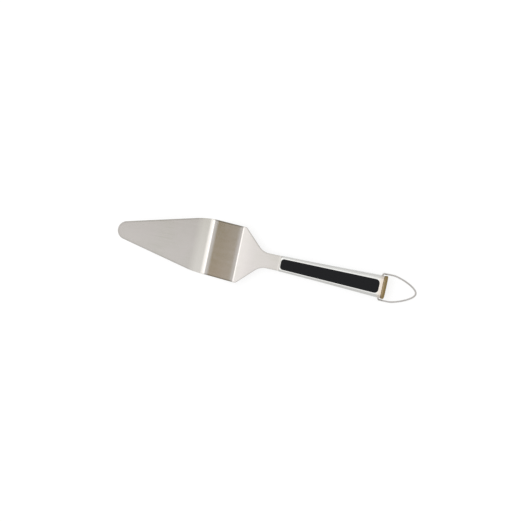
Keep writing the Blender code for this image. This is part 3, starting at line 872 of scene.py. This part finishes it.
def makeHandleSize():
    # half the handle's width and height at each point's place along it
    tree, given, result = newTree(
        "handleSize", "GeometryNodeTree", {"Along": ("Float", 0.0), **sizeInputs},
        {"Half width": "Float", "Half height": "Float"},
    )
    find = sumsIn(tree)
    share = find("MAXIMUM", find("DIVIDE", given["Along"], given["Length"]), 0.0)
    flare = find("POWER", share, given["Flare exponent"])
    for name, growth in (("width", flare), ("height", share)):
        front, end = given[f"Front {name}"], given[f"End {name}"]
        full = find("MULTIPLY_ADD", find("SUBTRACT", end, front), growth, front)
        setInputs(tree, result, {f"Half {name}": find("MULTIPLY", full, 0.5)})
    return tree


def makeHandleRule(name, handleSize, shape):
    # moves a blank's points on to the handle: shape gives their Y and Z from the blank's own
    tree, given, result = newRule(name, sizeInputs)
    blank = pointPlace(tree)
    size = addNode(tree, "GeometryNodeGroup", node_tree=handleSize)
    sizes = {sizeName: given[sizeName] for sizeName in sizeInputs}
    setInputs(tree, size, {"Along": blank["X"], **sizes})
    width, height = size.outputs["Half width"], size.outputs["Half height"]
    y, z = shape(tree, given["Section exponent"], blank, width, height)
    finishTree(tree, movePoints(tree, given["Geometry"], blank["X"], y, z), given, result)
    return tree


def sectionShape(tree, exponent, blank, width, height):
    # the rounded square: the blank's Y is the angle around it, and its Z the inset
    find = sumsIn(tree)
    cosine, sine = find("COSINE", blank["Y"]), find("SINE", blank["Y"])
    sides = [find("ABSOLUTE", side) for side in (cosine, sine)]
    total = find("ADD", *(find("POWER", side, exponent) for side in sides))
    stretch = find("POWER", total, find("DIVIDE", 1.0, exponent))
    across = find("MULTIPLY", find("SUBTRACT", width, blank["Z"]), cosine)
    up = find("MULTIPLY", find("SUBTRACT", height, blank["Z"]), sine)
    return find("DIVIDE", across, stretch), find("DIVIDE", up, stretch)


def padShape(tree, exponent, blank, width, height):
    # the upper face: the blank's Y stays, and its Z is the height above that face
    find = sumsIn(tree)
    across = find("ABSOLUTE", find("DIVIDE", blank["Y"], width))
    rest = find("SUBTRACT", 1.0, find("POWER", across, exponent))
    share = find("POWER", rest, find("DIVIDE", 1.0, exponent))
    return blank["Y"], find("ADD", find("MULTIPLY", height, share), blank["Z"])


def growOnHandle(piece, rule, material):
    sizes = {name: handleSettings[setting] for name, setting in sizeNames.items()}
    growBy(piece, rule, {**sizes, "Material": material})


handleSize = makeHandleSize()
sectionRule = makeHandleRule("sectionRule", handleSize, sectionShape)
padRule = makeHandleRule("padRule", handleSize, padShape)
handleAt = handlePlace()
turnedOver = Matrix.Rotation(math.pi, 4, "X")  # the handle's lower half is its upper half turned over


# pads: two soft pads, each in a window of its shell

padSettings = {
    "start": 0.0015,  # along the handle
    "end": 0.1174,
    "frontSideMargin": 0.0033,  # from the handle's side
    "rearSideMargin": 0.00525,
    "frontRadius": 0.0032,
    "rearRadius": 0.0042,
    "cornerLimit": 3,  # a corner that shrinks keeps one part in this many of its radius
    "rise": 0.0003,  # above the shell
    "depth": 0.0015,  # below it
    "edgeRounding": 0.0006,
    "edgeSteps": 5,
    "edgeFade": 0.5,  # how much of the rim's painted shade goes over the rounded edge
    "crownSteps": 8,
    "shortSteps": 14,  # of a corner, towards the short side
    "longSteps": 6,
    "longSideSteps": 44,
    "shortSideSteps": 8,
}


def padArcs(pad, grow):
    # the pad's four round corners in plan, grown by this much all round
    start, end = pad["start"] - grow, pad["end"] + grow
    front = halfWidth(start) - pad["frontSideMargin"] + grow
    rear = halfWidth(end) - pad["rearSideMargin"] + grow
    corners = [
        ((start, -front), pad["frontRadius"]), ((end, -rear), pad["rearRadius"]),
        ((end, rear), pad["rearRadius"]), ((start, front), pad["frontRadius"]),
    ]
    steps = pad["shortSteps"] + pad["longSteps"]
    arcs = []
    for k, (corner, radius) in enumerate(corners):
        before, after = corners[k - 1][0], corners[(k + 1) % 4][0]
        radius = max(radius + grow, radius / pad["cornerLimit"])
        arcs.append(roundCorner(before, corner, after, radius, steps))
    return arcs


def joinArcs(arcs, pad):
    # a closed outline through the four arcs, with even steps along the sides between them
    outline = []
    for k, arc in enumerate(arcs):
        after = arcs[(k + 1) % 4][0]
        count = pad["longSideSteps"] if k % 2 == 0 else pad["shortSideSteps"]
        outline += arc + [arc[-1].lerp(after, j / count) for j in range(1, count)]
    return outline


def padBlank(pad):
    rounding = pad["edgeRounding"]
    profile = [(0.0, -pad["depth"], 1.0)]  # inset, height above the shell's face, and rim
    # the pad's bottom and rounded edge carry the rim's painted shade, fading towards the top
    for k, (drop, inset) in enumerate(quarterRound(rounding, pad["edgeSteps"])):
        profile.append((inset, pad["rise"] - drop, 1.0 - k / pad["edgeSteps"] * pad["edgeFade"]))
    narrowest = halfWidth(pad["start"]) - pad["frontSideMargin"]
    for k in range(1, pad["crownSteps"]):
        inset = rounding + (narrowest - rounding) * k / pad["crownSteps"]
        profile.append((inset, pad["rise"], 0.0))
    rows = []
    for inset, height, rim in profile:
        rows.append(([(*point, height) for point in joinArcs(padArcs(pad, -inset), pad)], rim))
    bm = bmesh.new()
    rings = stackRings(bm, rows)
    bm.faces.new(rings[0])
    bm.faces.new(rings[-1])
    bmesh.ops.recalc_face_normals(bm, faces=bm.faces)
    return bm


def makePad(name, turn, node):
    piece = newPiece(name, padBlank(padSettings))
    growOnHandle(piece, padRule, gripRubber)
    settle(piece, handleAt @ turn, "server", "grip", node)


makePad("upperPad", Matrix.Identity(4), "upper_grip")
makePad("lowerPad", turnedOver, "lower_grip")


# shells: each a pressed skin with a window whose lip rolls down beside the pad

shellSettings = {
    "end": 0.1215,
    "thickness": 0.0004,
    "frontRounding": 0.0004,
    "frontSteps": 6,
    "frontRows": (0.0012, 0.0022, 0.0032),  # insets of the rows on the front face
    "seam": 0.0003,  # open line between the shells
    "windowGap": 0.0003,
    "lipRadius": 0.00035,
    "lipSteps": 5,
    "lipDepth": 0.0004,
    "ringSteps": 20,
    "sideAngle": 1.4,  # radians from the top, past which a point is on the handle's side
    "brownReflectionLength": 0.006,  # how far the painted brown reflection beside the cap reaches
    "jointGrimeAndShadeLength": 0.003,  # and how far the painted shade at the front reaches, partly grime in the joint
    "jointGrimeAndShadeShare": 0.8,
    "slotWidth": 0.0121,
    "slotHeight": 0.0024,
    "boreRadius": 0.00125,
    "boreSteps": 40,
}


def seamAngle(x, inset=0.0, right=True):
    angle = math.asin(min(shellSettings["seam"] / 2 / (halfHeight(x) - inset), 1))
    return angle if right else math.pi - angle


def shellEdge(shell, pad, arcs):
    # the shell's outer edge, point by point with the window's outline: its long sides follow the seam
    short, long = pad["shortSteps"], pad["longSteps"]
    edge = []
    for k, arc in enumerate(arcs):
        shortFirst, right = k % 2 == 0, k >= 2
        x = shell["frontRounding"] if k in (0, 3) else shell["end"]
        shortPoint, longPoint = (arc[0], arc[-1]) if shortFirst else (arc[-1], arc[0])
        flat, seam = sectionAngle(*shortPoint), seamAngle(x, right=right)
        half = [Vector((x, flat + (seam - flat) * j / short)) for j in range(short + 1)]
        places = [x + (longPoint.x - x) * j / long for j in range(1, long + 1)]
        other = [Vector((at, seamAngle(at, right=right))) for at in places]
        edge.append(half + other if shortFirst else other[::-1] + half[::-1])
    outline = joinArcs(edge, pad)
    for point in outline:
        fromTop = point.y - math.pi / 2
        if abs(fromTop) > shell["sideAngle"] and shell["frontRounding"] < point.x < shell["end"]:
            point.y = seamAngle(point.x, right=fromTop < 0)
    return outline


def shellBlank(shell, pad):
    # rows of points of distance along the handle, angle around it and inset
    rows = []
    lip, gap = shell["lipRadius"], shell["windowGap"]
    for inset, grow in [(lip + shell["lipDepth"], 0.0)] + quarterRound(lip, shell["lipSteps"]):
        outline = joinArcs(padArcs(pad, gap + grow), pad)
        rows.append([Vector((point.x, sectionAngle(point.x, point.y), inset)) for point in outline])
    outer = shellEdge(shell, pad, padArcs(pad, gap + lip))
    inner = rows[-1]
    for k in range(1, shell["ringSteps"] + 1):
        share = k / shell["ringSteps"]
        rows.append([near.lerp(Vector((*far, 0)), share) for near, far in zip(inner, outer)])
    bm = bmesh.new()
    rimShadeLayer = bm.verts.layers.float.new("rim")
    paintedLightLayer = bm.verts.layers.float.new("paintedLight")
    rings = [[bm.verts.new(point) for point in row] for row in rows]
    brownReflectionStart, dull = shell["end"] - shell["brownReflectionLength"], shell["jointGrimeAndShadeShare"]
    for vert in bm.verts:
        # a painted brown reflection that grows towards the cap
        vert[paintedLightLayer] = min(max((vert.co.x - brownReflectionStart) / shell["brownReflectionLength"], 0), 1)
        # darker towards the front: painted shade, partly grime in the joint
        vert[rimShadeLayer] = min(max(dull - vert.co.x / shell["jointGrimeAndShadeLength"], 0), dull)
    ringFaces(bm, rings)
    front = shell["frontRounding"]
    atFront = [k for k, point in enumerate(outer) if abs(point.x - front) < mergeDistance]
    columns = sorted(atFront, key=lambda k: outer[k].y)
    seam = seamAngle(front)
    shares = [(outer[k].y - seam) / (math.pi - 2 * seam) for k in columns]
    places = quarterRound(front, shell["frontSteps"])[1:] + [(0.0, inset) for inset in shell["frontRows"]]
    last = [rings[-1][k] for k in columns]
    for x, inset in places:
        low = seamAngle(x, inset)
        row = [bm.verts.new((x, low + (math.pi - 2 * low) * share, inset)) for share in shares]
        # the front rows show the rim's painted shade in full, partly grime in the joint
        for vert in row:
            vert[rimShadeLayer] = 1.0
        for k in range(len(row) - 1):
            bm.faces.new((last[k], last[k + 1], row[k + 1], row[k]))
        last = row
    middle = bm.verts.new((0, math.pi / 2, halfHeight(0) - shell["seam"] / 2))
    for k in range(len(last) - 1):
        bm.faces.new((last[k], last[k + 1], middle))
    bmesh.ops.recalc_face_normals(bm, faces=bm.faces)
    bm.normal_update()
    bm.faces.ensure_lookup_table()
    ringFace = bm.faces[len(rings[0]) * (shell["lipSteps"] + 2)]  # on the face beside the window
    if ringFace.normal.z > 0:  # the rule turns the blank over, so its faces look down
        bmesh.ops.reverse_faces(bm, faces=bm.faces)
    return bm


def makeHandleCutters(shell):
    bm = bmesh.new()
    size = (4 * shell["frontRounding"], shell["slotWidth"], shell["slotHeight"])
    bmesh.ops.create_cube(bm, size=1, matrix=Matrix.Diagonal((*size, 1)))
    slot = makeCutter("tangSlot", bm)
    place = Matrix.Translation((pivotAlong, 0, 0)) @ Matrix.Rotation(math.pi / 2, 4, "X")
    depth = 2 * handleSettings["endWidth"]
    return slot, roundCutter("pivotBore", shell["boreRadius"], depth, place, shell["boreSteps"])


def makeShell(name, turn, node, cutters):
    piece = newPiece(name, shellBlank(shellSettings, padSettings))
    growOnHandle(piece, sectionRule, shellSteel)
    solidify = piece.modifiers.new("wall", "SOLIDIFY")
    solidify.thickness, solidify.offset, solidify.use_even_offset = shellSettings["thickness"], -1, True
    cutBy(piece, *cutters)
    settle(piece, handleAt @ turn, "server", "shell_steel", node)


tangSlot, pivotBore = makeHandleCutters(shellSettings)
makeShell("upperShell", Matrix.Identity(4), "upper_shell", (tangSlot, pivotBore))
makeShell("lowerShell", turnedOver, "lower_shell", (tangSlot, pivotBore))


# end cap: a plate with soft edges and a plug that holds the loop

capSettings = {
    "thickness": 0.0024,
    "frontRounding": 0.00025,
    "rearRounding": 0.0006,
    "roundingSteps": 5,
    "plugInset": 0.0013,
    "plugLength": 0.0102,
    "plugRounding": 0.0004,
    "plugWall": 0.004,  # how far in the plug's end goes before its middle face
    "faceInsets": (0.0016, 0.003, 0.0048, 0.0066),
    "faceDish": 0.00015,
    "aroundSteps": 112,
}


def capBlank(cap):
    # rows of distance along the handle and inset, from the plug's end to the middle of the end face
    length = handleSettings["length"]
    plate = length - cap["thickness"]
    plugEnd, side, rounding = plate - cap["plugLength"], cap["plugInset"], cap["plugRounding"]
    frontEdge = quarterRound(cap["frontRounding"], cap["roundingSteps"])
    rearEdge = quarterRound(cap["rearRounding"], cap["roundingSteps"])
    rows = [(plugEnd, side + cap["plugWall"]), (plugEnd, side + rounding)]
    rows += [(plugEnd + rounding, side), (plate, side)]
    rows += [(plate + ahead, inset) for inset, ahead in frontEdge]
    rows += [(length - back, inset) for back, inset in rearEdge]
    for k, inset in enumerate(cap["faceInsets"]):
        rows.append((length - cap["faceDish"] * (k + 1) / len(cap["faceInsets"]), inset))
    bm = bmesh.new()
    angles = [math.tau * k / cap["aroundSteps"] for k in range(cap["aroundSteps"])]
    rings = stackRings(bm, [([(x, angle, inset) for angle in angles], 0.0) for x, inset in rows])
    bm.faces.new(rings[0])
    bm.faces.new(rings[-1])
    return bm


def makeCap(cap):
    piece = newPiece("endCap", capBlank(cap))
    growOnHandle(piece, sectionRule, capMetal)
    cutBy(piece, pivotBore)
    settle(piece, handleAt, "server", "cap_metal", "end_cap")


makeCap(capSettings)
for cutter in (tangSlot, pivotBore):
    bpy.data.objects.remove(cutter)


# wire loop: a drawn wire swept along its path

loopSettings = {
    "wireRadius": 0.00095,
    "reach": 0.0412,  # from the pivot to the middle of the wire at the nose
    "sideGap": 0.0014,
    "bendRadius": 0.0021,
    "armDepth": 0.0055,
    "legShare": 0.295,
    "shoulderPull": 0.17,
    "nosePull": 0.46,
    "circlePull": 0.5523,  # a quarter circle's handle, as a share of its radius
    "pathSteps": 16,
    "aroundSteps": 24,
}


def loopPath(loop):
    # from the tip of one arm, in a side bore, round the nose to the other arm
    side = halfWidth(pivotAlong) + loop["sideGap"] + loop["wireRadius"]
    armEnd = halfWidth(pivotAlong) - loop["armDepth"]
    leg, bend = loop["reach"] * loop["legShare"], loop["bendRadius"]
    shoulder, nose = loop["reach"] * loop["shoulderPull"], side * loop["nosePull"]
    pull = bend * loop["circlePull"]
    armThird, legThird = (side - bend - armEnd) / 3, (leg - bend) / 3
    half = [  # place, direction, and how far the handles reach back and forward
        ((0, armEnd), (0, 1), armThird, armThird),
        ((0, side - bend), (0, 1), armThird, pull),
        ((bend, side), (1, 0), pull, legThird),
        ((leg, side), (1, 0), legThird, shoulder),
    ]
    middle = [((loop["reach"], 0), (0, -1), nose, nose)]
    other = [((x, -y), (-dx, dy), ahead, behind) for (x, y), (dx, dy), behind, ahead in reversed(half)]
    knots = half + middle + other
    points = []
    for (start, direction, _, ahead), (end, endDirection, behind, _) in zip(knots, knots[1:]):
        first, last = Vector((*start, 0)), Vector((*end, 0))
        handles = first + Vector((*direction, 0)) * ahead, last - Vector((*endDirection, 0)) * behind
        points += interpolate_bezier(first, *handles, last, loop["pathSteps"] + 1)[:-1]
    return points + [last]


def makeWireRule():
    # sweeps a round section along a path, and notes where on the wire each point is
    tree, given, result = newRule("wireRule", {"Radius": ("Float", 0.001), "Around": ("Int", 24)})
    path = addNode(tree, "GeometryNodeMeshToCurve", {"Mesh": given["Geometry"]}).outputs["Curve"]
    circle = {"Resolution": given["Around"], "Radius": given["Radius"]}
    section = addNode(tree, "GeometryNodeCurvePrimitiveCircle", circle).outputs["Curve"]
    kept = []
    for curve, node, output, kind in (
        (path, "GeometryNodeSplineParameter", "Length", "FLOAT"),
        (section, "GeometryNodeInputPosition", "Position", "VECTOR"),
    ):
        capture = addNode(tree, "GeometryNodeCaptureAttribute", {"Geometry": curve}, domain="POINT")
        capture.capture_items.new(kind, output)
        tree.links.new(tree.nodes.new(node).outputs[output], capture.inputs[output])
        kept += [capture.outputs["Geometry"], capture.outputs[output]]
    keptPath, along, keptSection, around = kept
    sweep = {"Curve": keptPath, "Profile Curve": keptSection, "Fill Caps": True}
    swept = addNode(tree, "GeometryNodeCurveToMesh", sweep).outputs["Mesh"]
    offset = partsOf(tree, around)
    place = joinParts(tree, along, offset["X"], offset["Y"])
    finishTree(tree, storePlace(tree, swept, "wirePlace", place), given, result)
    return tree


def makeLoop(loop):
    bm = bmesh.new()
    points = [bm.verts.new(point) for point in loopPath(loop)]
    for near, far in zip(points, points[1:]):
        bm.edges.new((near, far))
    piece = newPiece("wireLoop", bm)
    values = {"Radius": loop["wireRadius"], "Around": loop["aroundSteps"], "Material": wireSteel}
    growBy(piece, makeWireRule(), values)
    droop = math.asin((loopPivot.z - loop["wireRadius"]) / loop["reach"])  # the nose lies on the table
    place = Matrix.Translation(loopPivot) @ Matrix.Rotation(droop, 4, "Y")
    settle(piece, place, "loop", "wire", "hanging_loop")


makeLoop(loopSettings)


# the CAD nodes that stay are inside the handle

for nodeName, material in {
    "upper_core": corePlastic,
    "lower_core": corePlastic,
    "front_tang_rivet": rivetSteel,
    "rear_tang_rivet": rivetSteel,
}.items():
    mesh = frame["nodes"][nodeName].data
    mesh.materials.clear()
    mesh.materials.append(material)
print("inner parts finished")
